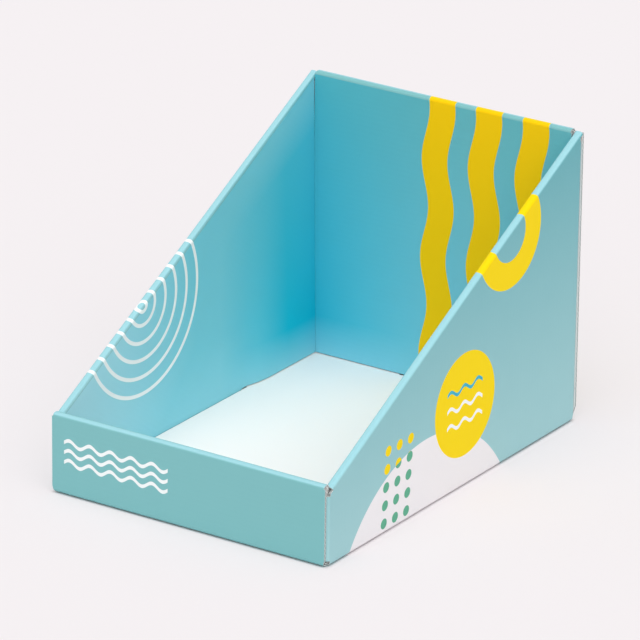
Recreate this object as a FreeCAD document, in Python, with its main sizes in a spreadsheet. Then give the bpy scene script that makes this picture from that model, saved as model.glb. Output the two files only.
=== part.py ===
# Countertop display tray folded from one die-cut sheet of thin corrugated board.
#
# Every wall is double: the outer panel stands up from the floor, turns over a narrow top strip
# and comes down again as an inner panel, whose tab drops into a slot in the floor. The outer
# panels of the two side walls carry corner flaps, which are held inside the front and back walls.
#
# Frame: +Z up, the front faces -Y, the origin lies under the middle of the tray's base.
# All sizes are in millimetres.

import FreeCAD, Part
import os

os.makedirs("parts", exist_ok=True)
doc = FreeCAD.newDocument("display_tray_model")

# Driving dimensions

SIZES = {
    # whole tray
    "width": 203,
    "depth": 285,
    "back_height": 194,
    "front_height": 52,
    # board and folds
    "board": 1.6,
    "layer_gap": 0.35,
    "fold_inside": 0.4,
    # how far the sloping edge starts below the top of the front wall
    "nose_drop": 2.5,
    # how far the front wall ends inside the outer faces of the side walls; the back wall is flush
    "front_end_inset": 1.5,
    # how far the front strip ends inside its wall, and the back strip beside the side walls
    "front_strip_inset": 0.8,
    "back_strip_gap": 1.0,
    # corner flaps
    "front_flap": 45,
    "back_flap": 60,
    "flap_clearance": 1.5,
    # lock tabs and their slots
    "front_tab": 60,
    "back_tab": 44,
    "side_tab": 114,
    "tab_taper": 1.2,
    "tab_recess": 0.2,
    "panel_lift": 0.6,
    "slot_end_gap": 6,
    "slot_side_gap": 0.45,
    # cut-away corners at the foot of the front and back panels
    "front_relief_width": 1.5,
    "front_relief_height": 4,
    "back_relief_width": 3,
    "back_relief_height": 9,
}

sheet = doc.addObject("Spreadsheet::Sheet", "sizes")
for row, (alias, value) in enumerate(SIZES.items(), start=1):
    sheet.set(f"A{row}", alias)
    sheet.set(f"B{row}", str(value))
    sheet.setAlias(f"B{row}", alias)
doc.recompute()

# Formulas that several panels share, written in the names of the sheet

WIDTH = "sizes.width"
DEPTH = "sizes.depth"
BOARD = "sizes.board"
GAP = "sizes.layer_gap"
OUTSIDE = "(sizes.board + sizes.fold_inside)"
WALL = "(3 * sizes.board + 2 * sizes.layer_gap)"
FLOOR_TOP = "(sizes.board + sizes.panel_lift)"

# The sloping top of a side wall starts behind the front wall and ends at the back of the tray
NOSE = "(sizes.front_height - sizes.nose_drop)"
SLOPE = f"((sizes.back_height - {NOSE}) / ({DEPTH} - {WALL}))"
LEAN = f"(sqrt(1 + {SLOPE} * {SLOPE}))"


def slope_top(y):
    """Height of the sloping top surface at the place y."""
    return f"({NOSE} + {SLOPE} * (({y}) + {DEPTH} / 2 - {WALL}))"


def panel_top(y):
    """Height at which an upright side panel ends and its top fold begins."""
    return f"({slope_top(y)} - {OUTSIDE} * {LEAN})"


# Places along the depth, from front to back
FRONT = f"(-{DEPTH} / 2)"
BACK = f"({DEPTH} / 2)"
SIDE_START = f"({FRONT} + {BOARD} + {GAP} + {OUTSIDE})"
SIDE_END = f"({BACK} - {BOARD} - {GAP} - {OUTSIDE})"
LINING_START = f"({FRONT} + {WALL} + {GAP})"
LINING_END = f"({BACK} - 2 * {BOARD} - 2 * {GAP})"
LEFT = f"(-{WIDTH} / 2)"
FRONT_HALF = f"({WIDTH} / 2 - sizes.front_end_inset)"


def place(item, x, y, z, rotation=None):
    """Bind the position of an object to formulas and turn it."""
    if rotation is not None:
        item.Placement = FreeCAD.Placement(FreeCAD.Vector(), rotation)
    item.setExpression("Placement.Base.x", x)
    item.setExpression("Placement.Base.y", y)
    item.setExpression("Placement.Base.z", z)
    return item


def panel(name, x, y, z):
    """Upright or flat rectangle of board: each of x, y and z is a pair (from, to)."""
    item = doc.addObject("Part::Box", name)
    item.setExpression("Length", f"({x[1]}) - ({x[0]})")
    item.setExpression("Width", f"({y[1]}) - ({y[0]})")
    item.setExpression("Height", f"({z[1]}) - ({z[0]})")
    return place(item, x[0], y[0], z[0])


def sloping_panel(name, x, y, foot, top):
    """Upright side panel whose top follows the slope; top is a function of y."""
    item = doc.addObject("Part::Wedge", name)
    values = {
        "Xmin": x[0], "X2min": x[0], "Xmax": x[1], "X2max": x[1],
        "Ymin": y[0], "Ymax": y[1],
        "Zmin": foot, "Z2min": foot,
        "Zmax": top(y[0]), "Z2max": top(y[1]),
    }
    for key, formula in values.items():
        item.setExpression(key, formula)
    return item


def directions(start, end):
    """Rotation that takes X to start and Y to end; the fold line is their cross product."""
    return FreeCAD.Rotation(start, end, start.cross(end), "XYZ")


RIGHT_WAY = FreeCAD.Vector(1, 0, 0)
BACK_WAY = FreeCAD.Vector(0, 1, 0)
UP = FreeCAD.Vector(0, 0, 1)


def fold(name, start, end, length, x, y, z):
    """Board bent through a right angle about the line at x, y, z, from start to end."""
    layers = []
    for part, radius in (("outside", OUTSIDE), ("inside", "sizes.fold_inside")):
        sector = doc.addObject("Part::Cylinder", f"{name}_{part}")
        sector.Angle = 90
        sector.setExpression("Radius", radius)
        sector.setExpression("Height", length)
        layers.append(place(sector, x, y, z, directions(start, end)))
    bend = doc.addObject("Part::Cut", name)
    bend.Base, bend.Tool = layers
    return bend


def joined(name, pieces):
    item = doc.addObject("Part::MultiFuse", name)
    item.Shapes = pieces
    return item


def tapered_tab(name, length, x, y):
    """Tab that hangs from an inner panel along X and narrows towards its tip."""
    item = doc.addObject("Part::Wedge", name)
    values = {
        "Xmin": f"-{length} / 2 + sizes.tab_taper", "Xmax": f"{length} / 2 - sizes.tab_taper",
        "X2min": f"-{length} / 2", "X2max": f"{length} / 2",
        "Ymin": "sizes.tab_recess", "Ymax": FLOOR_TOP,
        "Zmin": "0", "Z2min": "0", "Zmax": BOARD, "Z2max": BOARD,
    }
    for key, formula in values.items():
        item.setExpression(key, formula)
    upright = directions(RIGHT_WAY, UP)
    return place(item, x, y, "0", upright)


def relief(name, side, wall_half, width, height):
    """Cutter for the slanting corner at the foot of an end wall, on the side -1 or 1."""
    item = doc.addObject("Part::Wedge", name)
    edge = f"{side} * {wall_half}"
    inner = f"{edge} - {side} * {width}"
    spare = f"{edge} + {side} * {BOARD}"
    low, high = ("Xmin", "Xmax") if side > 0 else ("Xmax", "Xmin")
    top_low, top_high = ("X2min", "X2max") if side > 0 else ("X2max", "X2min")
    values = {
        low: inner, high: spare, top_low: edge, top_high: spare,
        "Ymin": "0", "Ymax": height,
        "Zmin": "0", "Z2min": "0", "Zmax": f"2 * {OUTSIDE}", "Z2max": f"2 * {OUTSIDE}",
    }
    for key, formula in values.items():
        item.setExpression(key, formula)
    return place(item, "0", f"{FRONT} + {OUTSIDE}", "0", directions(RIGHT_WAY, UP))


# Front and back walls, both drawn at the front; the back wall is then turned half round

def end_wall(name, height, wall_half, strip_half, lining_half, tab, relief_width, relief_height):
    whole = (f"-{wall_half}", wall_half)
    strip = (f"-({strip_half})", strip_half)
    lining = (f"-({lining_half})", lining_half)
    wall_top = f"({height} - {OUTSIDE})"
    outer_line = f"{FRONT} + {OUTSIDE}"
    inner_line = f"{FRONT} + {WALL} - {OUTSIDE}"
    strip_length = f"2 * ({strip_half})"
    inner_y = (f"{FRONT} + {WALL} - {BOARD}", f"{FRONT} + {WALL}")
    pieces = [
        fold(f"{name}_foot", -UP, -BACK_WAY, f"2 * {wall_half}", wall_half, outer_line, OUTSIDE),
        panel(f"{name}_outer", whole, (FRONT, f"{FRONT} + {BOARD}"), (OUTSIDE, wall_top)),
        fold(f"{name}_outer_fold", -BACK_WAY, UP, strip_length, strip[1], outer_line, wall_top),
        panel(f"{name}_strip", strip, (outer_line, inner_line), (f"{height} - {BOARD}", height)),
        fold(f"{name}_inner_fold", UP, BACK_WAY, strip_length, strip[1], inner_line, wall_top),
        panel(f"{name}_inner", lining, inner_y, (FLOOR_TOP, wall_top)),
        tapered_tab(f"{name}_tab", tab, "0", inner_y[1]),
    ]
    cutters = []
    for side_name, side in (("left", -1), ("right", 1)):
        cutters.append(relief(f"{name}_{side_name}_relief", side, wall_half, relief_width, relief_height))
    wall = doc.addObject("Part::Cut", name)
    wall.Base = joined(f"{name}_folded", pieces)
    wall.Tool = joined(f"{name}_reliefs", cutters)
    return wall


front_wall = end_wall(
    "front_wall", "sizes.front_height", FRONT_HALF,
    f"{FRONT_HALF} - sizes.front_strip_inset", f"{WIDTH} / 2 - {BOARD} - 2 * {GAP}",
    "sizes.front_tab", "sizes.front_relief_width", "sizes.front_relief_height",
)
back_wall = end_wall(
    "back_wall", "sizes.back_height", f"({WIDTH} / 2)",
    f"{WIDTH} / 2 - {WALL} - sizes.back_strip_gap", f"{WIDTH} / 2 - {WALL} - {GAP}",
    "sizes.back_tab", "sizes.back_relief_width", "sizes.back_relief_height",
)
back_wall.Placement = FreeCAD.Placement(FreeCAD.Vector(), FreeCAD.Rotation(UP, 180))


# Corner flaps of a side wall, folded off the upright edges of its outer panel

def corner_flap(name, way, start, length, top):
    """Flap behind the front wall, way 1, or in front of the back wall, way -1."""
    foot = f"({BOARD} + sizes.flap_clearance)"
    fold_line = f"{LEFT} + {OUTSIDE}"
    near = f"{start} - {way} * {OUTSIDE}"
    far = f"{near} + {way} * {BOARD}"
    y = (near, far) if way > 0 else (far, near)
    if way > 0:
        first, last = -RIGHT_WAY, -BACK_WAY
    else:
        first, last = BACK_WAY, -RIGHT_WAY
    height = f"({top}) - {foot}"
    return [
        fold(f"{name}_fold", first, last, height, fold_line, start, foot),
        panel(name, (fold_line, f"{fold_line} + {length}"), y, (foot, top)),
    ]


# Roll-over edge of a side wall, drawn level from its lower end and then turned to the slope

def roll_over(name):
    run = f"({DEPTH} * {LEAN})"
    spare = f"(0 - {WALL})"
    level = joined(f"{name}_level", [
        fold(f"{name}_outer_fold", -RIGHT_WAY, UP, f"{run} + {WALL}", OUTSIDE, spare, f"-{OUTSIDE}"),
        panel(f"{name}_strip", (OUTSIDE, f"{WALL} - {OUTSIDE}"), (spare, run), (f"-{BOARD}", "0")),
        fold(f"{name}_inner_fold", UP, RIGHT_WAY, f"{run} + {WALL}",
             f"{WALL} - {OUTSIDE}", spare, f"-{OUTSIDE}"),
    ])
    place(level, LEFT, f"{FRONT} + {WALL}", NOSE, FreeCAD.Rotation(RIGHT_WAY, 1))
    level.setExpression("Placement.Rotation.Angle", f"atan({SLOPE})")
    ends = panel(
        f"{name}_ends", (f"{LEFT} - {WALL}", f"{LEFT} + 2 * {WALL}"),
        (f"{FRONT} + {WALL} + {GAP}", f"{BACK} - {BOARD} - {GAP}"),
        ("0", "sizes.back_height + sizes.front_height"),
    )
    trimmed = doc.addObject("Part::Common", name)
    trimmed.Base = level
    trimmed.Tool = ends
    return trimmed


# Side walls, drawn on the left and mirrored to the right

lining_x = (f"{LEFT} + {WALL} - {BOARD}", f"{LEFT} + {WALL}")
side_tab = tapered_tab("side_tab", "sizes.side_tab", lining_x[0], "0")
side_tab.Placement.Rotation = directions(BACK_WAY, UP)

left_wall = joined("left_wall", [
    fold("side_foot", -UP, -RIGHT_WAY, f"{SIDE_END} - {SIDE_START}",
         f"{LEFT} + {OUTSIDE}", SIDE_START, OUTSIDE),
    sloping_panel("side_outer", (LEFT, f"{LEFT} + {BOARD}"), (SIDE_START, SIDE_END),
                  OUTSIDE, panel_top),
    roll_over("side_roll"),
    sloping_panel("side_inner", lining_x, (LINING_START, LINING_END), FLOOR_TOP, panel_top),
    side_tab,
] + corner_flap("front_corner_flap", 1, SIDE_START, "sizes.front_flap",
                f"{panel_top(SIDE_START)} - sizes.flap_clearance")
  + corner_flap("back_corner_flap", -1, SIDE_END, "sizes.back_flap",
                f"{panel_top(SIDE_END)} - 2 * sizes.flap_clearance"))

right_wall = doc.addObject("Part::Mirroring", "right_wall")
right_wall.Source = left_wall
right_wall.Base = FreeCAD.Vector()
right_wall.Normal = RIGHT_WAY


# Floor with a slot under each tab

def slot(name, x, y):
    return panel(name, x, y, (f"-{BOARD}", f"2 * {BOARD}"))


def slot_run(tab):
    half = f"({tab} / 2 + sizes.slot_end_gap)"
    return (f"-{half}", half)


slot_near = f"({WALL} - {BOARD} - sizes.slot_side_gap)"
slot_far = f"({WALL} + sizes.slot_side_gap)"
slots = joined("slots", [
    slot("front_slot", slot_run("sizes.front_tab"), (f"{FRONT} + {slot_near}", f"{FRONT} + {slot_far}")),
    slot("back_slot", slot_run("sizes.back_tab"), (f"{BACK} - {slot_far}", f"{BACK} - {slot_near}")),
    slot("left_slot", (f"{LEFT} + {slot_near}", f"{LEFT} + {slot_far}"), slot_run("sizes.side_tab")),
    slot("right_slot", (f"{WIDTH} / 2 - {slot_far}", f"{WIDTH} / 2 - {slot_near}"),
         slot_run("sizes.side_tab")),
])
floor = doc.addObject("Part::Cut", "floor")
floor.Base = panel(
    "floor_panel",
    (f"{LEFT} + {OUTSIDE}", f"{WIDTH} / 2 - {OUTSIDE}"),
    (f"{FRONT} + {OUTSIDE}", f"{BACK} - {OUTSIDE}"),
    ("0", BOARD),
)
floor.Tool = slots

# The whole sheet, one solid

tray = joined("display_tray", [floor, front_wall, back_wall, left_wall, right_wall])
tray.Label = "display_tray"
tray.Refine = True
doc.recompute()

for item in doc.Objects:
    if "Invalid" in item.State or "Error" in item.State:
        raise RuntimeError(f"{item.Name} did not rebuild: {item.State}")
if tray.Shape.isNull() or not tray.Shape.isValid():
    raise RuntimeError("the tray has no valid shape")
if len(tray.Shape.Solids) != 1:
    raise RuntimeError(f"the tray should be one sheet, not {len(tray.Shape.Solids)}")

tray.Shape.exportStep(f"parts/{tray.Label}.step")
box = tray.Shape.BoundBox
print(f"{tray.Label}: {box.XLength:.2f} x {box.YLength:.2f} x {box.ZLength:.2f} mm, "
      f"{tray.Shape.Volume / 1000:.1f} cm3, {len(tray.Shape.Faces)} faces")
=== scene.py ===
# %% [markdown]
# # A counter tray folded from one printed sheet
#
# The real tray is a single sheet of thin corrugated board. It is printed flat on one side, cut and
# creased, and then folded up without glue: each wall turns over at its top, comes down again as a
# lining, and locks with a tab in the floor.
#
# This lesson makes it the same way. A flat sheet is cut and scored, each vertex remembers where it
# lies on the flat sheet, the creases are folded one after the other, and only then the sheet gets
# its thickness. A box model of every wall would be quicker, but a folded sheet gives the true
# roundings and gaps at the corners, and the print can be drawn flat, as a printer does it.

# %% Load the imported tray
import math

import bmesh
import bpy
from mathutils import Matrix, Vector


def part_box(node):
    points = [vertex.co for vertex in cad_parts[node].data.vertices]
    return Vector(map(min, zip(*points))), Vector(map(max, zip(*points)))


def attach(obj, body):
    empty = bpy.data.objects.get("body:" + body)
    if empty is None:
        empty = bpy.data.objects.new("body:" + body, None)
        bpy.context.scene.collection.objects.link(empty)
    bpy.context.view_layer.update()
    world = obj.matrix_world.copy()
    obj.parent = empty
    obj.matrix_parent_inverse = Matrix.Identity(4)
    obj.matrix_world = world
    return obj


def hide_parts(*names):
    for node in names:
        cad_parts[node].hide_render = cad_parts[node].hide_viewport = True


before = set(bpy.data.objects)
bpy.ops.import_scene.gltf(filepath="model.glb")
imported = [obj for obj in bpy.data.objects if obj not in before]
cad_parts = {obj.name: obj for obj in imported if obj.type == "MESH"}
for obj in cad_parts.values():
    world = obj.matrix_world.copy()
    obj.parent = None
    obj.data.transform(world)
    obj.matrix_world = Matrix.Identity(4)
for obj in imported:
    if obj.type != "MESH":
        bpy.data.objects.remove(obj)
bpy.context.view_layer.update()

# %% [markdown]
# ## Sizes
#
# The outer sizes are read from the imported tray, so that the folded sheet lies where the solid does.
# The board and its small clearances are written in millimetres, as on a cutting drawing, and turned
# into Blender's metres once, here.

# %% Sizes of the tray
MM = 0.001
NEAR = 1e-6
TRAY = "display_tray"

low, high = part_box(TRAY)
WIDTH = high.x - low.x
DEPTH = high.y - low.y
BACK_HEIGHT = high.z

BOARD = 1.6 * MM
LAYER_GAP = 0.35 * MM
FOLD_INSIDE = 0.4 * MM
FOLD_OUTSIDE = BOARD + FOLD_INSIDE
WALL = 3 * BOARD + 2 * LAYER_GAP
NOSE_DROP = 2.5 * MM

front_corners = [v.co.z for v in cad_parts[TRAY].data.vertices if v.co.y < low.y + WALL]
FRONT_HEIGHT = max(front_corners)
NOSE_HEIGHT = FRONT_HEIGHT - NOSE_DROP
SLOPE = (BACK_HEIGHT - NOSE_HEIGHT) / (DEPTH - WALL)
print(f"front {FRONT_HEIGHT / MM:.1f} mm, back {BACK_HEIGHT / MM:.1f} mm, "
      f"slope {math.degrees(math.atan(SLOPE)):.1f} degrees")

# %% Sizes of the small cuts
FLAP_CLEARANCE = 1.5 * MM
FLAP_LENGTH = {"front": 45 * MM, "back": 60 * MM}
TAB_LENGTH = {"front": 60 * MM, "back": 44 * MM, "side": 114 * MM}
TAB_TAPER = 1.2 * MM
TAB_TIP = 0.2 * MM
FOOT_GAP = 0.6 * MM
LINING_FOOT = BOARD + FOOT_GAP
SLOT_END_GAP = 6 * MM
SLOT_SIDE_GAP = 0.45 * MM
RELIEF = {"front": (1.5 * MM, 4 * MM), "back": (3 * MM, 9 * MM)}
FRONT_END_INSET = 1.5 * MM
STRIP_INSET = {"front": 0.8 * MM, "back": 1.0 * MM}
END_HALF = {"front": WIDTH / 2 - FRONT_END_INSET, "back": WIDTH / 2}
STRIP_HALF = {"front": END_HALF["front"] - STRIP_INSET["front"],
              "back": WIDTH / 2 - WALL - STRIP_INSET["back"]}
LINING_HALF = {"front": WIDTH / 2 - BOARD - 2 * LAYER_GAP, "back": WIDTH / 2 - WALL - LAYER_GAP}
HEIGHT = {"front": FRONT_HEIGHT, "back": BACK_HEIGHT}
print(f"a wall of three layers is {WALL / MM:.1f} mm thick, the board {BOARD / MM:.1f} mm")

# %% [markdown]
# ## The flat sheet
#
# A crease in board this thick isn't a line but a small bend, with the printed side outside. Here a
# right-angle bend is six narrow facets on a circle. The flat sheet is only as long as its facets,
# so the sizes along it are added up from panels and bends, as a packaging designer does.
#
# The flat sheet lies in the XY plane with the print facing down. `U` runs to the right of the tray
# and `V` runs to its back. Only the right half is cut, and mirrored later.

# %% Positions on the flat sheet
FOLD_STEPS = 6
STEP_ANGLE = math.radians(90) / FOLD_STEPS
STEP_LENGTH = 2 * FOLD_OUTSIDE * math.sin(STEP_ANGLE / 2)
FOLD_LENGTH = FOLD_STEPS * STEP_LENGTH
STRIP = WALL - 2 * FOLD_OUTSIDE
ROLL = 2 * FOLD_LENGTH + STRIP

U = Vector((1, 0, 0))
V = Vector((0, 1, 0))
UP = Vector((0, 0, 1))
FLOOR_U = WIDTH / 2 - FOLD_OUTSIDE
FLOOR_V = DEPTH / 2 - FOLD_OUTSIDE
SIDE_BASE = FLOOR_U + FOLD_LENGTH - FOLD_OUTSIDE
END_BASE = FLOOR_V + FOLD_LENGTH - FOLD_OUTSIDE

SIDE_START = -DEPTH / 2 + BOARD + LAYER_GAP + FOLD_OUTSIDE
SIDE_END = -SIDE_START
LINING_START = -DEPTH / 2 + WALL + LAYER_GAP
LINING_END = DEPTH / 2 - 2 * BOARD - 2 * LAYER_GAP
ROLL_END = DEPTH / 2 - BOARD - LAYER_GAP
print(f"a bend takes {FOLD_LENGTH / MM:.2f} mm of the sheet, a roll-over {ROLL / MM:.2f} mm")


def at_side(height, along):
    """Point of a side wall's outer panel on the flat sheet."""
    return Vector((SIDE_BASE + height, along, 0))


def panel_top(along):
    """Height at which a side panel ends and its sloping bend begins."""
    top = NOSE_HEIGHT + SLOPE * (along + DEPTH / 2 - WALL)
    return top - FOLD_OUTSIDE * math.hypot(1, SLOPE)


# %% Directions of the sloping edge
ALONG_SLOPE = (V + U * SLOPE).normalized()
OFF_SLOPE = (U - V * SLOPE).normalized()
ROLL_START = at_side(panel_top(LINING_START), LINING_START)
print(f"the sloping bend starts {ROLL_START.x / MM:.1f} mm from the middle of the flat sheet")


def mirrored(point):
    """Where a point of the outer panel meets the lining when the wall is rolled over."""
    rise = (point - ROLL_START).dot(OFF_SLOPE)
    return point + OFF_SLOPE * (ROLL - 2 * rise)


# %% [markdown]
# ## Cutting
#
# The sheet starts as one rectangle. `bisect_plane` is the knife: it cuts only the panel that it is
# given, and what lies beyond the line gets a new panel name or falls away as waste. The names are
# kept in a face layer, which every later cut hands on to the new faces.

# %% A sheet and a knife
PANELS = [
    "floor", "side", "roll", "lining", "side tab",
    "front", "front top", "front lining", "front tab", "front flap",
    "back", "back top", "back lining", "back tab", "back flap",
]
sheet = bmesh.new()
panel_of = sheet.faces.layers.int.new("panel")

sheet_front = DEPTH / 2 + 2 * (FRONT_HEIGHT + WALL)
sheet_back = DEPTH / 2 + 2 * (BACK_HEIGHT + WALL)
sheet_side = WIDTH / 2 + 2 * BACK_HEIGHT
HALF_A_METRE = 0.5
bmesh.ops.create_grid(sheet, x_segments=1, y_segments=1, size=HALF_A_METRE)
bmesh.ops.scale(sheet, vec=(sheet_side, sheet_front + sheet_back, 1), verts=sheet.verts)
middle = Vector((sheet_side, sheet_back - sheet_front, 0)) / 2
bmesh.ops.translate(sheet, vec=middle, verts=sheet.verts)
print(f"the uncut half sheet is {sheet_side:.2f} m wide and {sheet_front + sheet_back:.2f} m long")


def faces_of(*names):
    wanted = [PANELS.index(name) for name in names]
    return [f for f in sheet.faces if f[panel_of] in wanted]


def corners_of(*names):
    return list(dict.fromkeys(v for f in faces_of(*names) for v in f.verts))


def score(name, point, away):
    """Cut one panel along the line through point that away is square to, and keep both sides."""
    faces = faces_of(name)
    edges = list(dict.fromkeys(e for f in faces for e in f.edges))
    geometry = corners_of(name) + edges + faces
    bmesh.ops.bisect_plane(sheet, geom=geometry, dist=NEAR, plane_co=point, plane_no=away)


def split(name, point, away, beyond=None):
    """Score a panel, then rename what lies beyond the line, or drop it."""
    score(name, point, away)
    far = [f for f in faces_of(name) if (f.calc_center_median() - point).dot(away) > 0]
    if beyond is None:
        bmesh.ops.delete(sheet, geom=far, context="FACES")
        return
    for f in far:
        f[panel_of] = PANELS.index(beyond)


# %% Part the walls from the floor
split("floor", U * WIDTH / 2, U, "side")
for name, way in (("front", -V), ("back", V)):
    split("floor", way * FLOOR_V, way, name)
    split(name, U * END_HALF[name], U)
split("floor", U * FLOOR_U, U, "side")
print(f"the floor's half is {FLOOR_U / MM:.1f} mm wide, without its bend")

# %% Cut the front and back walls
for name, way in (("front", -V), ("back", V)):
    top = f"{name} top"
    lining = f"{name} lining"
    tab = f"{name} tab"
    panel_end = END_BASE + HEIGHT[name] - FOLD_OUTSIDE
    lining_length = HEIGHT[name] - FOLD_OUTSIDE - LINING_FOOT
    tab_start = panel_end + ROLL + lining_length
    tab_end = tab_start + LINING_FOOT - TAB_TIP
    split(name, way * panel_end, way, top)
    split(top, way * (panel_end + ROLL), way, lining)
    split(top, U * STRIP_HALF[name], U)
    split(lining, U * LINING_HALF[name], U)
    split(lining, way * tab_start, way, tab)
    split(tab, way * tab_end, way)
    taper = Vector((LINING_FOOT - TAB_TIP, 0, 0)) + way * TAB_TAPER
    split(tab, U * TAB_LENGTH[name] / 2 + way * tab_start, taper.normalized())
    relief_width, relief_height = RELIEF[name]
    relief_foot = U * (END_HALF[name] - relief_width) + way * FLOOR_V
    relief_top = U * END_HALF[name] + way * (END_BASE + relief_height)
    run = relief_top - relief_foot
    across = run.cross(UP) if run.cross(UP).x > 0 else UP.cross(run)
    split(name, relief_foot, across.normalized())
    print(f"{name} wall: {len(faces_of(name, top, lining, tab))} faces, "
          f"tab ends at {tab_end / MM:.1f} mm")

# %% Cut a side wall with its flaps
front_flap_top = panel_top(SIDE_START) - FLAP_CLEARANCE
back_flap_top = panel_top(SIDE_END) - 2 * FLAP_CLEARANCE
split("side", at_side(0, SIDE_START), -V, "front flap")
split("front flap", at_side(front_flap_top, 0), U, "roll")
split("side", ROLL_START, OFF_SLOPE, "roll")
split("side", at_side(0, SIDE_END), V, "back flap")
for name, start, way, top in (
    ("front flap", SIDE_START, -V, front_flap_top),
    ("back flap", SIDE_END, V, back_flap_top),
):
    length = FOLD_LENGTH + FLAP_LENGTH[name.split()[0]]
    split(name, at_side(BOARD + FLAP_CLEARANCE, 0), -U)
    split(name, at_side(top, 0), U)
    split(name, V * start + way * length, way)
    print(f"{name} reaches {length / MM:.1f} mm past the side wall's panel")

# %% Cut the sloping roll-over and the lining behind it
bend_run = ALONG_SLOPE * FOLD_OUTSIDE * SLOPE
roll_front = at_side(panel_top(LINING_START), LINING_START) + bend_run
roll_back = at_side(panel_top(ROLL_END), ROLL_END) + bend_run
split("roll", ROLL_START + OFF_SLOPE * ROLL, OFF_SLOPE, "lining")
split("roll", roll_front, -ALONG_SLOPE)
split("roll", roll_back, ALONG_SLOPE)


def mirrored_split(name, height, along, away, beyond=None):
    """Cut a panel of the lining along a line that is given as it lies on the folded wall."""
    point = mirrored(at_side(height, along))
    turned = away - 2 * away.dot(OFF_SLOPE) * OFF_SLOPE
    split(name, point, turned, beyond)


mirrored_split("lining", 0, LINING_START, -V)
mirrored_split("lining", 0, LINING_END, V)
mirrored_split("lining", LINING_FOOT, 0, -U, "side tab")
mirrored_split("side tab", TAB_TIP, 0, -U)
for way in (-1, 1):
    taper = V * way * (LINING_FOOT - TAB_TIP) - U * TAB_TAPER
    mirrored_split("side tab", LINING_FOOT, way * TAB_LENGTH["side"] / 2, taper.normalized())
print(f"side wall: {len(faces_of('side', 'roll', 'lining', 'side tab'))} faces")

# %% Punch the slots in the floor
SLOT_NEAR = WALL - BOARD - SLOT_SIDE_GAP
SLOT_FAR = WALL + SLOT_SIDE_GAP


def punch(u_range, v_range):
    for limits, axis in ((u_range, U), (v_range, V)):
        for place in limits:
            score("floor", axis * place, axis)
    inside = []
    for f in faces_of("floor"):
        centre = f.calc_center_median()
        if u_range[0] < centre.x < u_range[1] and v_range[0] < centre.y < v_range[1]:
            inside.append(f)
    bmesh.ops.delete(sheet, geom=inside, context="FACES")


half_slot = {name: length / 2 + SLOT_END_GAP for name, length in TAB_LENGTH.items()}
punch((WIDTH / 2 - SLOT_FAR, WIDTH / 2 - SLOT_NEAR), (-half_slot["side"], half_slot["side"]))
punch((-NEAR, half_slot["front"]), (-DEPTH / 2 + SLOT_NEAR, -DEPTH / 2 + SLOT_FAR))
punch((-NEAR, half_slot["back"]), (DEPTH / 2 - SLOT_FAR, DEPTH / 2 - SLOT_NEAR))
print(f"the cut half sheet has {len(sheet.faces)} faces")

# %% [markdown]
# ## Scoring
#
# Each bend gets its seven lines, and the large panels a grid of lines a centimetre apart. The grid
# isn't there to fold: real panels of board are never quite flat, and these lines let them bow a
# little in a moment.

# %% Score the bends
SLOPE_FOLDS = [ROLL_START, ROLL_START + OFF_SLOPE * (FOLD_LENGTH + STRIP)]
END_FOLDS = {}
for name, way in (("front", -V), ("back", V)):
    panel_end = END_BASE + HEIGHT[name] - FOLD_OUTSIDE
    END_FOLDS[name] = [way * panel_end, way * (panel_end + FOLD_LENGTH + STRIP)]


def score_bend(name, point, away):
    for step in range(FOLD_STEPS + 1):
        score(name, point + away * step * STEP_LENGTH, away)


score_bend("side", U * FLOOR_U, U)
score_bend("front flap", V * SIDE_START, -V)
score_bend("back flap", V * SIDE_END, V)
for point in SLOPE_FOLDS:
    score_bend("roll", point, OFF_SLOPE)
for name, way in (("front", -V), ("back", V)):
    score_bend(name, way * FLOOR_V, way)
    for point in END_FOLDS[name]:
        score_bend(f"{name} top", point, way)
print(f"each bend has {FOLD_STEPS + 1} lines, {STEP_LENGTH / MM:.2f} mm apart")

# %% Score a grid on the panels that may bow
GRID = 10 * MM


def rule(names, first, away, distance):
    """Parallel lines a grid apart, beginning at the point first, over a distance."""
    for name in names:
        for number in range(1, int(distance / GRID)):
            score(name, first + away * number * GRID, away)


for name, way in (("front", -V), ("back", V)):
    rule([name, f"{name} top", f"{name} lining"], Vector(), U, WIDTH / 2)
    rule([name, f"{name} lining"], way * END_BASE, way, 2 * HEIGHT[name])
rule(["side"], V * SIDE_START, V, DEPTH)
rule(["side"], U * SIDE_BASE, U, BACK_HEIGHT)
rule(["roll"], ROLL_START, ALONG_SLOPE, DEPTH * math.hypot(1, SLOPE))
lining_corner = mirrored(at_side(0, LINING_START))
turned_v = V - 2 * V.dot(OFF_SLOPE) * OFF_SLOPE
turned_u = U - 2 * U.dot(OFF_SLOPE) * OFF_SLOPE
rule(["lining"], lining_corner, turned_v, DEPTH)
rule(["lining"], lining_corner, turned_u, BACK_HEIGHT)
print(f"the scored half sheet has {len(sheet.faces)} faces")

# %% [markdown]
# ## Folding
#
# Before anything bends, every vertex writes its flat position into two layers. They choose what a
# fold moves, and later they become the UV map on which the print is drawn.
#
# A bend is folded from its far line to its near one, and the outermost bend first. That way each
# line still lies in the flat sheet when it is used, and needs no bookkeeping of where it has gone.

# %% Remember the flat sheet
flat_u = sheet.verts.layers.float.new("flat_u")
flat_v = sheet.verts.layers.float.new("flat_v")
for v in sheet.verts:
    v[flat_u] = v.co.x
    v[flat_v] = v.co.y
print(f"{len(sheet.verts)} vertices know where they lie on the flat sheet")


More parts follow.
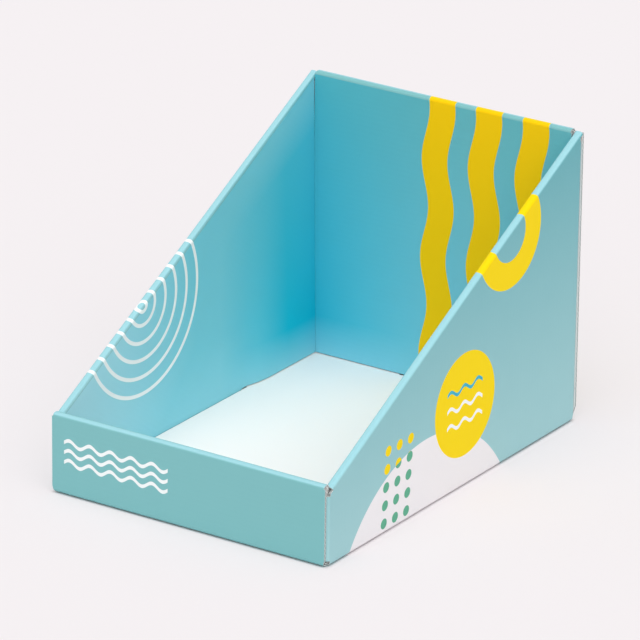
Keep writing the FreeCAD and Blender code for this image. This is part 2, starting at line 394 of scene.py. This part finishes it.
def fold(names, point, away):
    """Fold up by a right angle what lies beyond the line through point, in the named panels."""
    corners = corners_of(*names)
    reach = [(Vector((v[flat_u], v[flat_v], 0)) - point).dot(away) for v in corners]
    for step in reversed(range(FOLD_STEPS + 1)):
        inner_line = 0 < step < FOLD_STEPS
        angle = STEP_ANGLE if inner_line else STEP_ANGLE / 2
        distance = step * STEP_LENGTH
        moved = [v for v, r in zip(corners, reach) if r > distance + NEAR]
        turn = Matrix.Rotation(angle, 3, away.cross(UP))
        bmesh.ops.rotate(sheet, cent=point + away * distance, matrix=turn, verts=moved)


# %% Fold the side wall
rolled = ["roll", "lining", "side tab"]
fold(["front flap"], V * SIDE_START, -V)
fold(["back flap"], V * SIDE_END, V)
for point in reversed(SLOPE_FOLDS):
    fold(rolled, point, OFF_SLOPE)
fold(["side", "front flap", "back flap"] + rolled, U * FLOOR_U, U)
print(f"the folded side wall stands at {max(v.co.x for v in sheet.verts) / MM:.2f} mm")

# %% Fold the front and back walls
for name, way in (("front", -V), ("back", V)):
    turned_over = [f"{name} top", f"{name} lining", f"{name} tab"]
    for point in reversed(END_FOLDS[name]):
        fold(turned_over, point, way)
    fold([name] + turned_over, way * FLOOR_V, way)
top_edge = max(v.co.z for v in sheet.verts)
print(f"the folded half reaches {top_edge / MM:.2f} mm high")

# %% [markdown]
# ## The other half
#
# The half is mirrored, and the flat positions of the new left side change sign, because its print
# isn't a mirror image. Mirroring saves cutting and folding everything twice, and the two halves
# meet in one sheet along the middle.

# %% Mirror the half
bmesh.ops.mirror(sheet, geom=sheet.verts[:] + sheet.edges[:] + sheet.faces[:],
                 matrix=Matrix.Identity(4), merge_dist=NEAR, axis="X")
bmesh.ops.remove_doubles(sheet, verts=sheet.verts, dist=NEAR)
for v in sheet.verts:
    if v.co.x < 0:
        v[flat_u] = -v[flat_u]
bmesh.ops.recalc_face_normals(sheet, faces=sheet.faces)
if faces_of("floor")[0].normal.z > 0:
    bmesh.ops.reverse_faces(sheet, faces=sheet.faces)
print(f"the whole sheet has {len(sheet.faces)} faces")

# %% [markdown]
# ## Bowing
#
# Board that is rolled over and locked pulls its walls inwards a little between the corners. Each
# wall moves by less than a millimetre at the middle of its top edge, and not at all at the floor
# and the corners, and its layers and flaps move together. It is enough to bend the reflections.
#
# The left lining is held by its tab only. Behind the tab its foot springs inwards by a few
# millimetres, so that the upright corner at the back leans. Its rear end is set back by as much as
# it needs to stay clear of the back lining.

# %% Let the walls pull in
SIDE_BOW = {"left": 0.1 * MM, "right": 0.8 * MM}
END_BOW = {"front": 0.4 * MM, "back": 0.7 * MM}

for v in corners_of("side", "roll", "lining", "side tab"):
    bow, way = (SIDE_BOW["right"], -1) if v.co.x > 0 else (SIDE_BOW["left"], 1)
    middle_share = math.cos(math.pi * v.co.y / DEPTH) ** 2
    v.co.x += way * bow * middle_share * v.co.z / BACK_HEIGHT
for name, way in (("front", 1), ("back", -1)):
    for v in corners_of(name, f"{name} top", f"{name} lining", f"{name} tab", f"{name} flap"):
        middle_share = math.cos(math.pi * v.co.x / WIDTH) ** 2
        v.co.y += way * END_BOW[name] * middle_share * v.co.z / HEIGHT[name]
print(f"the right wall bows by {SIDE_BOW['right'] / MM:.1f} mm at the most")

# %% Let the foot of the left lining spring inwards
SPRING = 3.4 * MM
SPRING_START = TAB_LENGTH["side"] / 2 + SLOT_END_GAP
SPRING_RUN = 14 * MM
END_SETBACK = WALL + LAYER_GAP - (DEPTH / 2 - LINING_END)

for v in corners_of("lining"):
    if v.co.x > 0:
        continue
    top = BACK_HEIGHT - SLOPE * (DEPTH / 2 - v.co.y)
    behind = min(max((v.co.y - SPRING_START) / SPRING_RUN, 0), 1)
    share = behind * (1 - v.co.z / top)
    v.co.x += SPRING * share
    v.co.y -= END_SETBACK * max(0, (v.co.y - SPRING_START) / (LINING_END - SPRING_START))
print(f"the foot of the left lining stands {SPRING / MM:.1f} mm off its wall at the back")

# %% [markdown]
# ## Thickness
#
# `solidify` turns the printed surface into board. It keeps the flat positions, which a modifier
# would do too, but here a layer called `depth` can be added: it is 0 on the printed side and 1 on
# the plain side, so that the cut edges can show what is between.

# %% Give the board its thickness
depth = sheet.verts.layers.float.new("depth")
grown = bmesh.ops.solidify(sheet, geom=sheet.faces[:], thickness=BOARD)
for item in grown["geom"]:
    if isinstance(item, bmesh.types.BMVert):
        item[depth] = 1.0
bmesh.ops.recalc_face_normals(sheet, faces=sheet.faces)
loose = [e for e in sheet.edges if len(e.link_faces) != 2]
print(f"the board is closed: {not loose}, {len(sheet.faces)} faces, "
      f"{sheet.calc_volume() / MM ** 3 / 1000:.1f} cm3")

# %% Unfold the flat positions into a UV map and tell the surfaces apart
PRINTED, PLAIN, CUT = range(3)
MIXED = 0.01
SHARP = math.radians(40)
blank = sheet.loops.layers.uv.new("blank")
for f in sheet.faces:
    plain_share = sum(v[depth] for v in f.verts) / len(f.verts)
    f.material_index = PRINTED if plain_share < MIXED else PLAIN if plain_share > 1 - MIXED else CUT
    f.smooth = True
    for loop in f.loops:
        loop[blank].uv = (loop.vert[flat_u], loop.vert[flat_v])
for e in sheet.edges:
    e.smooth = e.calc_face_angle(0) < SHARP

tray_mesh = bpy.data.meshes.new("folded_sheet")
sheet.to_mesh(tray_mesh)
sheet.free()
folded_sheet = bpy.data.objects.new("folded_sheet", tray_mesh)
bpy.context.scene.collection.objects.link(folded_sheet)
print(f"the folded sheet has {len(tray_mesh.polygons)} faces and one UV map")

# %% Ride on the frame
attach(folded_sheet, "root")
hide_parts(TRAY)
print("the folded sheet takes the place of", TRAY)

# %% Shade the large panels flat and the bends round
shading = folded_sheet.modifiers.new("even_shading", "WEIGHTED_NORMAL")
shading.keep_sharp = True
print(f"edges sharper than {math.degrees(SHARP):.0f} degrees stay hard")

# %% [markdown]
# ## Drawing with formulas
#
# The print is made of fields of ink with clean edges: rings, discs, dots and stripes. A picture
# could hold it, but a formula stays sharp at any distance, and its sizes can be read and changed.
#
# Math nodes wired one by one are hard to read. The small class `Field` below stands for a value
# that changes over the surface, and each sum or product of fields adds the Math node for it. So a
# formula in the code looks like one on paper.

# %% A field: a value that changes over the surface
class Field:
    """The output socket of a node, with arithmetic."""

    def __init__(self, socket):
        self.socket = socket

    def math(self, operation, *others):
        node = self.socket.id_data.nodes.new("ShaderNodeMath")
        node.operation = operation
        for place, value in zip(node.inputs, (self, *others)):
            if isinstance(value, Field):
                node.id_data.links.new(value.socket, place)
            else:
                place.default_value = value
        return Field(node.outputs[0])

    def __add__(self, other):
        return self.math("ADD", other)

    def __sub__(self, other):
        return self.math("SUBTRACT", other)

    def __mul__(self, other):
        return self.math("MULTIPLY", other)

    def __truediv__(self, other):
        return self.math("DIVIDE", other)

    def __neg__(self):
        return self * -1

    def __abs__(self):
        return self.math("ABSOLUTE")


# %% Shapes drawn with fields
INK_EDGE = 0.25 * MM
FULL_TURN = 2 * math.pi


def wave(along, length, start=0.0):
    """A sine wave between -1 and 1 along a field."""
    return ((along - start) * (FULL_TURN / length)).math("SINE")


def inside(distance, softness=INK_EDGE):
    """1 where a distance to an outline is below zero, 0 where it is above, with a soft edge."""
    return (distance * (-1 / softness) + 0.5).math("MAXIMUM", 0.0).math("MINIMUM", 1.0)


def between(field, first, last, softness=INK_EDGE):
    return inside(abs(field - (first + last) / 2) - (last - first) / 2, softness)


def distance_to(across, along, point):
    """Distance in the flat sheet from a point."""
    dx = across - point[0]
    dy = along - point[1]
    return (dx * dx + dy * dy).math("SQRT")


def off_nearest(field, pitch, count):
    """Distance from the nearest of a row of places, which starts at zero."""
    place = (field / pitch).math("ROUND").math("MAXIMUM", 0.0).math("MINIMUM", count - 1.0)
    return field - place * pitch


# %% Nodes that every material here needs
MATT_REFLECTION = 0.1


def new_material(mesh, name, roughness):
    """Give a mesh a material with its shader, and nothing on it yet."""
    material = bpy.data.materials.new(name)
    material.use_nodes = True
    mesh.materials.append(material)
    shader = material.node_tree.nodes["Principled BSDF"]
    shader.inputs["Roughness"].default_value = roughness
    shader.inputs["Specular IOR Level"].default_value = MATT_REFLECTION
    return material.node_tree, shader


def flat_place(tree):
    """The place on the flat sheet, read from the UV map."""
    uv_map = tree.nodes.new("ShaderNodeUVMap")
    uv_map.uv_map = "blank"
    return uv_map.outputs["UV"]


def object_place(tree):
    """The place in the room."""
    return tree.nodes.new("ShaderNodeTexCoord").outputs["Object"]


def fields_of(vector):
    """The three parts of a vector socket, as fields."""
    tree = vector.id_data
    parts = tree.nodes.new("ShaderNodeSeparateXYZ")
    tree.links.new(vector, parts.inputs[0])
    return [Field(socket) for socket in parts.outputs]


def noise(tree, vector, scale, detail=2.0):
    """Soft random patches between 0 and 1."""
    node = tree.nodes.new("ShaderNodeTexNoise")
    node.inputs["Scale"].default_value = scale
    node.inputs["Detail"].default_value = detail
    tree.links.new(vector, node.inputs["Vector"])
    return Field(node.outputs["Fac"])


# %% Lay one ink over another
# A Mix node keeps its sockets for colours behind those for numbers and vectors.
MIX_SHARE, MIX_BELOW, MIX_ABOVE = 0, 6, 7
MIX_RESULT = 2


def ink_over(below, ink, mask):
    """Lay an ink over what is below it, where the mask is 1. Inks are colours or sockets."""
    tree = mask.socket.id_data
    mix = tree.nodes.new("ShaderNodeMix")
    mix.data_type = "RGBA"
    tree.links.new(mask.socket, mix.inputs[MIX_SHARE])
    for colour, place in ((below, MIX_BELOW), (ink, MIX_ABOVE)):
        if isinstance(colour, tuple):
            mix.inputs[place].default_value = (*colour, 1)
        else:
            tree.links.new(colour, mix.inputs[place])
    return mix.outputs[MIX_RESULT]


# %% Raise the surface
def raise_surface(shader, height, distance):
    """Bump: the height field times a distance in metres."""
    tree = shader.id_data
    bump = tree.nodes.new("ShaderNodeBump")
    bump.inputs["Distance"].default_value = distance
    tree.links.new(height.socket, bump.inputs["Height"])
    tree.links.new(bump.outputs["Normal"], shader.inputs["Normal"])


# %% [markdown]
# ## The printed side
#
# Two inks do most of the work: a pale blue-green ground and a warm yellow. The ground isn't one
# even tone, and most of its changes are painted light and shade. It is deeper and clearer inside
# the tray, and darkest in the left corner at the back, where shade is painted. The side linings
# are paler near the front, which is painted light, and the linings are paler near the floor, which
# is painted light bounced off the floor. The outer side walls carry a painted sheen towards their
# foot. Along the top edges the ground is lighter, partly because the rolled board stretches the
# ink thin, and partly as a painted highlight of the light from above.
#
# All places are those of the flat sheet, in the same values that cut it, so the ring and the
# circles run on over the sloping edge as they do on a sheet that was printed before it was folded.

# %% Inks
GROUND_FRONT = (0.225, 0.525, 0.540)
# The ramp between the next two inks is a painted sheen, lighter towards the foot of the outer side
# walls.
GROUND_SIDE_SHEEN_LOW = (0.388, 0.645, 0.675)
GROUND_SIDE_SHEEN_HIGH = (0.152, 0.443, 0.491)
# The back lining is lighter towards the floor: painted light bounced off the floor.
BACK_INSIDE_PAINTED_BOUNCE = (0.250, 0.670, 0.810)
BACK_INSIDE_HIGH = (0.140, 0.485, 0.530)
GROUND_SIDE_INSIDE = (0.200, 0.630, 0.750)
# Painted light on the side linings, towards the front of the tray and near the floor.
LINING_PAINTED_LIGHT = (0.480, 0.800, 0.890)
# Painted shade in the left corner at the back.
CORNER_PAINTED_SHADE = (0.001, 0.500, 0.680)
# Along the roll-overs: ink stretched thin over the bends, and a painted highlight of the light from
# above.
GROUND_ROLLED_AND_HIGHLIGHT = (0.360, 0.680, 0.745)
YELLOW = (0.970, 0.710, 0.001)
YELLOW_INSIDE = (1.000, 0.620, 0.001)
GREEN = (0.120, 0.430, 0.280)
BLUE = (0.050, 0.450, 0.600)
BARE_WHITE = (0.880, 0.860, 0.880)
LINE_WHITE = (0.930, 0.960, 0.960)
print("the sheet carries ground, yellow, green and blue ink on white")

# %% Where the shapes of the print lie on the flat sheet
ROLL_MIDDLE = OFF_SLOPE * (ROLL / 2)


def on_roll(along):
    """Middle of the sloping roll-over, at a distance from the middle of the tray's depth."""
    return at_side(panel_top(along), along) + ROLL_MIDDLE


RING_ALONG = 59.2 * MM
RING_BELOW = 2.8 * MM
RING_CENTRE = on_roll(RING_ALONG) - OFF_SLOPE * RING_BELOW
RING_OUTSIDE = 35.2 * MM
RING_INSIDE = 17.4 * MM
CIRCLES_CENTRE = mirrored(at_side(93.9 * MM, -52.1 * MM))
CIRCLE_SMALL = 3.9 * MM
CIRCLE_FIRST = 12.8 * MM
CIRCLE_COUNT = 5
CIRCLE_PITCH = 11.45 * MM
CIRCLE_LINE = 2.5 * MM
DISC_CENTRE = at_side(54.3 * MM, 10.1 * MM)
DISC_RADIUS = 34 * MM
HILL_CENTRE = at_side(-57 * MM, -32.5 * MM)
HILL_RADIUS = 102.8 * MM
DOT_START = at_side(52.5 * MM, -75.7 * MM)
DOT_ROWS, DOT_COLUMNS = 5, 3
DOT_PITCH_DOWN = 11.55 * MM
DOT_PITCH_ALONG = 12.4 * MM
DOT_SHEAR = 0.09
DOT_RADIUS = 3.3 * MM
STRIPE_COUNT = 3
STRIPE_WIDTH = 19.3 * MM
STRIPE_PITCH = 34.4 * MM
STRIPE_START = -11 * MM
STRIPE_SWING = 2.7 * MM
STRIPE_WAVE = 66.6 * MM
STRIPE_WAVE_START = END_BASE + 354.6 * MM
print(f"the circles' centre lies {CIRCLES_CENTRE.x / MM:.0f} mm from the middle of the flat sheet")

# %% Where the wavy lines lie
FRONT_WAVES_LEFT, FRONT_WAVES_RIGHT = -91 * MM, -14 * MM
FRONT_WAVES_HEIGHT = 28 * MM
FRONT_WAVES_PITCH = 6.5 * MM
DISC_WAVES_REACH = 20 * MM
DISC_WAVES_PITCH = 11 * MM
WAVES_COUNT = 3
WAVE_LENGTH = 15.4 * MM
WAVE_SWING = 1.8 * MM
WAVE_STROKE = 2.4 * MM


def wavy_lines(along, height, first, last, pitch):
    """Three wavy lines above each other, the middle one at height zero."""
    level = height - wave(along, WAVE_LENGTH, first) * WAVE_SWING
    off_line = off_nearest(level + pitch, pitch, WAVES_COUNT)
    return inside(abs(off_line) - WAVE_STROKE / 2) * between(along, first, last)


print(f"each wavy line swings {WAVE_SWING / MM:.1f} mm up and down")

# %% Where the ground changes its tone, and where light and shade are painted on it
ZONE_EDGE = 1 * MM
# Reach, height and fade of the painted shade in the back left corner.
CORNER_SHADE_REACH = {"side": (45 * MM, 115 * MM), "back": (0, 130 * MM)}
CORNER_SHADE_FOOT = 28 * MM
CORNER_SHADE_OFF_SLOPE = (5 * MM, 30 * MM)
# Where the painted light on the side linings fades: towards the back, and above the floor.
FRONT_PAINTED_LIGHT_END = 5 * MM
FOOT_PAINTED_BOUNCE_TOP = 45 * MM
FOOT_PAINTED_BOUNCE_SHARE = 0.3
CORNER_SHADE_TOP = 330 * MM
# Over these bands the ground is lighter: thinner ink, and a painted highlight of the light from
# above.
THIN_AND_HIGHLIGHT_START = 0.35 * FOLD_LENGTH
THIN_AND_HIGHLIGHT_END = {"side": FOLD_LENGTH + STRIP + 0.45 * FOLD_LENGTH, "front": FOLD_LENGTH + STRIP,
            "back": FOLD_LENGTH + 0.8 * STRIP}
print(f"the ink is thin from {THIN_AND_HIGHLIGHT_START / MM:.1f} mm on over each roll-over")


def ramp(field, first, last):
    """0 up to the first value, 1 from the last one on, and even between them."""
    return ((field - first) / (last - first)).math("MAXIMUM", 0.0).math("MINIMUM", 1.0)


# %% The ground colour of each wall, with painted light and shade
def ground_ink(tree, u, v):
    """The ground ink, by the place on the sheet and in the room, with painted light and shade laid
    into it.
    """
    x, y, z = fields_of(object_place(tree))
    side = abs(u)
    on_side = inside(-(side - SIDE_BASE))
    rise = (side - ROLL_START.x) * OFF_SLOPE.x + (v - ROLL_START.y) * OFF_SLOPE.y
    front_rise = -v - END_FOLDS["front"][0].length
    back_rise = v - END_FOLDS["back"][0].length
    side_inside = inside(-(rise - ROLL)) * on_side
    back_inside = inside(-(back_rise - ROLL))

    # A painted sheen on the outer side walls, strongest at the foot and fading towards the top.
    colour = ink_over(GROUND_SIDE_SHEEN_LOW, GROUND_SIDE_SHEEN_HIGH, ramp(side - SIDE_BASE, 0, BACK_HEIGHT))
    colour = ink_over(GROUND_FRONT, colour, on_side)
    # Painted light on the side linings: towards the front, and bounced off the floor near the foot.
    front_painted_light = -ramp(y, -DEPTH / 2, FRONT_PAINTED_LIGHT_END) + 1
    foot_painted_bounce = (-ramp(z, 0, FOOT_PAINTED_BOUNCE_TOP) + 1) * FOOT_PAINTED_BOUNCE_SHARE
    pale = front_painted_light.math("MAXIMUM", foot_painted_bounce)
    lining_ink_with_painted_light = ink_over(GROUND_SIDE_INSIDE, LINING_PAINTED_LIGHT, pale)
    colour = ink_over(colour, lining_ink_with_painted_light, side_inside)
    # Painted bounce light on the back lining, lighter near the floor.
    back = ink_over(BACK_INSIDE_PAINTED_BOUNCE, BACK_INSIDE_HIGH, ramp(z, 0, BACK_HEIGHT))
    colour = ink_over(colour, back, back_inside)

    # Painted shade in the back left corner, strongest at mid-height, on the left lining and the back
    # lining.
    off_corner = x - y + (WIDTH + DEPTH) / 2
    at_height = ramp(z, 0, CORNER_SHADE_FOOT) * (-ramp(z, CORNER_SHADE_FOOT, CORNER_SHADE_TOP) + 1)
    side_corner_shade = side_inside * ramp(rise - ROLL, *CORNER_SHADE_OFF_SLOPE)
    for zone, name in ((side_corner_shade, "side"), (back_inside, "back")):
        corner_shade = (-ramp(off_corner, *CORNER_SHADE_REACH[name]) + 1) * at_height * zone
        colour = ink_over(colour, CORNER_PAINTED_SHADE, corner_shade)

    # Lighter along the roll-overs: thin ink, and a painted highlight of the light from above.
    thin = between(rise, THIN_AND_HIGHLIGHT_START, THIN_AND_HIGHLIGHT_END["side"], ZONE_EDGE) * on_side
    thin = thin + between(front_rise, THIN_AND_HIGHLIGHT_START, THIN_AND_HIGHLIGHT_END["front"], ZONE_EDGE)
    thin = thin + between(back_rise, THIN_AND_HIGHLIGHT_START, THIN_AND_HIGHLIGHT_END["back"], ZONE_EDGE)
    return ink_over(colour, GROUND_ROLLED_AND_HIGHLIGHT, thin)


# %% The shapes on the side walls
def side_shapes(colour, u, v):
    """Hill, disc, dots and ring on the right wall, circles on the left one."""
    side = abs(u)
    on_side = inside(-(side - SIDE_BASE + FOLD_LENGTH))
    on_right = inside(-u) * on_side

    hill = inside(distance_to(u, v, HILL_CENTRE) - HILL_RADIUS) * on_right
    colour = ink_over(colour, BARE_WHITE, hill)

    down = -u + DOT_START.x
    along = v - DOT_START.y + down * DOT_SHEAR
    off_dot_down = off_nearest(down, DOT_PITCH_DOWN, DOT_ROWS)
    off_dot_along = off_nearest(along, DOT_PITCH_ALONG, DOT_COLUMNS)
    dots = inside(distance_to(off_dot_down, off_dot_along, (0, 0)) - DOT_RADIUS) * on_right
    colour = ink_over(colour, ink_over(YELLOW, GREEN, hill), dots)

    disc = inside(distance_to(u, v, DISC_CENTRE) - DISC_RADIUS)
    colour = ink_over(colour, YELLOW, disc)
    level = u - DISC_CENTRE.x
    start = DISC_CENTRE.y - DISC_WAVES_REACH
    lines = wavy_lines(v, level, start, DISC_CENTRE.y + DISC_WAVES_REACH, DISC_WAVES_PITCH)
    top_line = inside(-(level - DISC_WAVES_PITCH / 2))
    colour = ink_over(colour, ink_over(LINE_WHITE, BLUE, top_line), lines)

    off_ring = distance_to(u, v, RING_CENTRE)
    colour = ink_over(colour, YELLOW, between(off_ring, RING_INSIDE, RING_OUTSIDE))

    off_centre = distance_to(side, v, CIRCLES_CENTRE)
    rings = abs(off_nearest(off_centre - CIRCLE_FIRST, CIRCLE_PITCH, CIRCLE_COUNT))
    small = abs(off_centre - CIRCLE_SMALL)
    circles = inside(rings.math("MINIMUM", small) - CIRCLE_LINE / 2)
    return ink_over(colour, LINE_WHITE, circles * inside(u) * on_side)


# %% The shapes on the front and back walls
def end_shapes(colour, u, v):
    """Stripes on the back wall, wavy lines on the front."""
    swing = wave(v, STRIPE_WAVE, STRIPE_WAVE_START) * STRIPE_SWING
    across = u + swing - (STRIPE_START + STRIPE_WIDTH / 2)
    stripes = inside(abs(off_nearest(across, STRIPE_PITCH, STRIPE_COUNT)) - STRIPE_WIDTH / 2)
    stripe_ink = ink_over(YELLOW, YELLOW_INSIDE, inside(-(v - END_FOLDS["back"][1].length)))
    colour = ink_over(colour, stripe_ink, stripes * inside(-(v - END_BASE)))

    height = -v - (END_BASE + FRONT_WAVES_HEIGHT)
    lines = wavy_lines(u, height, FRONT_WAVES_LEFT, FRONT_WAVES_RIGHT, FRONT_WAVES_PITCH)
    return ink_over(colour, LINE_WHITE, lines)


# %% Make the printed material
FLUTE = 3.4 * MM
PRINT_ROUGHNESS = 0.55
PRINT_GRAIN = 2500
PRINT_RELIEF = 0.03 * MM
FLUTE_SHOW = 0.3
MOTTLE = 60
MOTTLE_SHARE = 0.06
MOTTLE_INK = (0.10, 0.35, 0.40)

tree, shader = new_material(tray_mesh, "printed_liner", PRINT_ROUGHNESS)
uv = flat_place(tree)
u, v = fields_of(uv)[:2]
ink = ink_over(ground_ink(tree, u, v), MOTTLE_INK, noise(tree, uv, MOTTLE) * MOTTLE_SHARE)
ink = end_shapes(side_shapes(ink, u, v), u, v)
tree.links.new(ink, shader.inputs["Base Color"])
raise_surface(shader, wave(v, FLUTE) * FLUTE_SHOW + noise(tree, uv, PRINT_GRAIN), PRINT_RELIEF)
print(f"the print takes {len(tree.nodes)} nodes")

# %% [markdown]
# ## The plain side
#
# The floor shows the back of the sheet: bare white paper with a soft cloud of fibres. Noise in the
# colour and a very low bump are enough, because the paper is matt and nearly even.

# %% Make the plain liner
PAPER_LIGHT = (0.980, 0.945, 0.925)
PAPER_DARK = (0.940, 0.905, 0.885)
PAPER_ROUGHNESS = 0.8
FIBRE_SCALE = 900
FIBRE_DETAIL = 4
FIBRE_RELIEF = 0.04 * MM

tree, shader = new_material(tray_mesh, "plain_liner", PAPER_ROUGHNESS)
fibres = noise(tree, flat_place(tree), FIBRE_SCALE, FIBRE_DETAIL)
tree.links.new(ink_over(PAPER_DARK, PAPER_LIGHT, fibres), shader.inputs["Base Color"])
raise_surface(shader, fibres, FIBRE_RELIEF)
print("the floor shows bare paper")

# %% [markdown]
# ## The cut edges
#
# A cut edge shows two pale liners and a wave of paper between them; the hollows between the
# flutes are painted dark as their shade. Modelling every flute would take tens of thousands of
# faces. The `depth` layer says how far through the board a point lies, so the wave is a formula in
# the depth and the place along the sheet.

# %% Make the cut edge
EDGE_PAPER = (0.680, 0.720, 0.710)
# The hollows between the flutes, painted dark as their shade.
EDGE_HOLLOW_SHADE = (0.260, 0.290, 0.290)
EDGE_ROUGHNESS = 0.9
WAVE_HEIGHT = 0.33
WAVE_PAPER = 0.12
LINER_SHARE = 0.16
EDGE_SOFTNESS = 0.08
BOARD_MIDDLE = 0.5

tree, shader = new_material(tray_mesh, "cut_edge", EDGE_ROUGHNESS)
u, v = fields_of(flat_place(tree))[:2]
attribute = tree.nodes.new("ShaderNodeAttribute")
attribute.attribute_name = "depth"
through = Field(attribute.outputs["Fac"]) - BOARD_MIDDLE
off_wave = abs(through - wave(v, FLUTE) * WAVE_HEIGHT) - WAVE_PAPER
off_liner = -(abs(through) - (BOARD_MIDDLE - LINER_SHARE))
paper = inside(off_wave.math("MINIMUM", off_liner), EDGE_SOFTNESS)
# Paper where the liners and the wave are, painted shade in the hollows between them.
tree.links.new(ink_over(EDGE_HOLLOW_SHADE, EDGE_PAPER, paper), shader.inputs["Base Color"])
print("the cut edges show", [m.name for m in tray_mesh.materials])

# %% [markdown]
# ## Floor
#
# The tray stands on white studio paper, which the photograph shows almost without shading. So the
# paper adds some light of its own, but only where the camera or a mirror image sees it: the tray
# gets no light from that, and its shadow stays. The bottom of a folded tray isn't quite flat, so the
# paper lies a little low, and under the tray it doesn't glow: a thin dark gap shows along the foot.

# %% Studio paper
PAPER_DROP = 0.9 * MM
PAPER_REACH = 6
PAPER_CORNERS = 64
PAPER_TONE = (0.885, 0.845, 0.860)
STUDIO_ROUGHNESS = 0.9
PAPER_GLOW_SHARE = 0.55

floor_mesh = bpy.data.meshes.new("ground")
paper = bmesh.new()
bmesh.ops.create_circle(paper, cap_ends=True, segments=PAPER_CORNERS, radius=PAPER_REACH)
bmesh.ops.translate(paper, vec=UP * -PAPER_DROP, verts=paper.verts)
paper.to_mesh(floor_mesh)
paper.free()
floor = bpy.data.objects.new("ground", floor_mesh)
bpy.context.scene.collection.objects.link(floor)
print("the paper reaches", PAPER_REACH, "m from the tray")

# %% Let the paper glow where it is seen
tree, shader = new_material(floor_mesh, "studio_paper", STUDIO_ROUGHNESS)
shader.inputs["Base Color"].default_value = (*PAPER_TONE, 1)
glow = tree.nodes.new("ShaderNodeEmission")
glow.inputs["Color"].default_value = (*PAPER_TONE, 1)
rays = tree.nodes.new("ShaderNodeLightPath").outputs
seen = Field(rays["Is Camera Ray"])
for name in ("Is Glossy Ray", "Is Transmission Ray"):
    seen = seen.math("MAXIMUM", Field(rays[name]))
x, y = fields_of(object_place(tree))[:2]
under_tray = inside(abs(x) - WIDTH / 2, ZONE_EDGE) * inside(abs(y) - DEPTH / 2, ZONE_EDGE)
seen = seen * (-under_tray + 1)
blend = tree.nodes.new("ShaderNodeMixShader")
tree.links.new((seen * PAPER_GLOW_SHARE).socket, blend.inputs[0])
tree.links.new(shader.outputs[0], blend.inputs[1])
tree.links.new(glow.outputs[0], blend.inputs[2])
tree.links.new(blend.outputs[0], tree.nodes["Material Output"].inputs["Surface"])
print(f"{PAPER_GLOW_SHARE:.0%} of what is seen of the paper is its own light")

# %% [markdown]
# ## Light and camera
#
# An even white dome gives most of the light. A wide soft lamp from the front right models the
# walls, and a weaker one from above lights the floor of the tray, which the walls shade. A long
# lens from far off keeps the upright edges nearly parallel, as in the photograph.

# %% Light
WHITE = (1, 1, 1)
DOME = 0.5
# Of each lamp its strength, how many degrees of the sky it fills, and which way it shines.
LAMPS = {
    "key": (1.6, 75, Vector((-0.45, 0.5, -0.9))),
    "above": (0.6, 50, Vector((0.05, 0.1, -1))),
}
world = bpy.data.worlds.new("studio")
bpy.context.scene.world = world
world.use_nodes = True
backdrop = world.node_tree.nodes["Background"]
backdrop.inputs["Color"].default_value = (*WHITE, 1)
backdrop.inputs["Strength"].default_value = DOME
for name, (energy, spread, direction) in LAMPS.items():
    lamp_data = bpy.data.lights.new(name, "SUN")
    lamp_data.energy = energy
    lamp_data.angle = math.radians(spread)
    lamp = bpy.data.objects.new(name, lamp_data)
    lamp.rotation_euler = direction.to_track_quat("-Z", "Y").to_euler()
    bpy.context.scene.collection.objects.link(lamp)
    print(f"lamp {name} with energy {energy}")

# %% Camera
CAMERA_PLACE = Vector((1.9003, -2.8796, 1.4532))
CAMERA_AIM = Vector((0.0007, 0.0003, 0.0897))
CAMERA_ROLL = math.radians(0.72)
LENS = 338.1
SENSOR = 36

camera_data = bpy.data.cameras.new("camera")
camera_data.sensor_width = SENSOR
camera_data.lens = LENS
camera = bpy.data.objects.new("camera", camera_data)
camera.location = CAMERA_PLACE
look = (CAMERA_AIM - CAMERA_PLACE).to_track_quat("-Z", "Y").to_matrix()
camera.rotation_euler = (look @ Matrix.Rotation(CAMERA_ROLL, 3, "Z")).to_euler()
bpy.context.scene.collection.objects.link(camera)
bpy.context.scene.camera = camera
bpy.context.scene.view_settings.view_transform = "Standard"
print(f"the camera is {(CAMERA_AIM - CAMERA_PLACE).length:.2f} m away")
